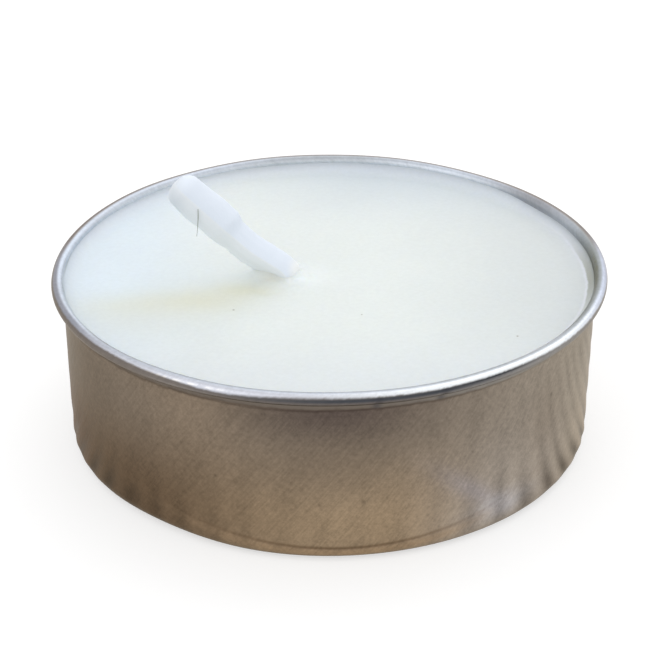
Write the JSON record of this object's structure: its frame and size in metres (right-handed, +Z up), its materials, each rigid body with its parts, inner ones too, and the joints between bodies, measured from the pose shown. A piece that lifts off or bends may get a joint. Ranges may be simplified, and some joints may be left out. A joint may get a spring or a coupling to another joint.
{
  "type": "tea light candle",
  "caption": "Short round tea light candle: wax in a thin drawn aluminium cup with a curled rim, and a waxed wick leaning to one side.",
  "frame": {"origin": "centre of the standing ring under the cup, on the surface it stands on", "axes": "+Z up along the cup's axis; the wick leans towards -X; -Y faces the viewer of the picture"},
  "size_m": [0.038, 0.038, 0.0188],
  "materials": {
    "cup_metal": "bright rolled sheet, drawn and slightly wrinkled",
    "wax": "set paraffin wax, translucent, soft gloss",
    "waxed_cotton": "cotton wick soaked in white wax",
    "tinplate": "bright tinplate"
  },
  "bodies": {
    "root": {"cup": "cup_metal", "wax": "wax", "wick": "waxed_cotton", "wick_sustainer": "tinplate"}
  },
  "joints": []
}
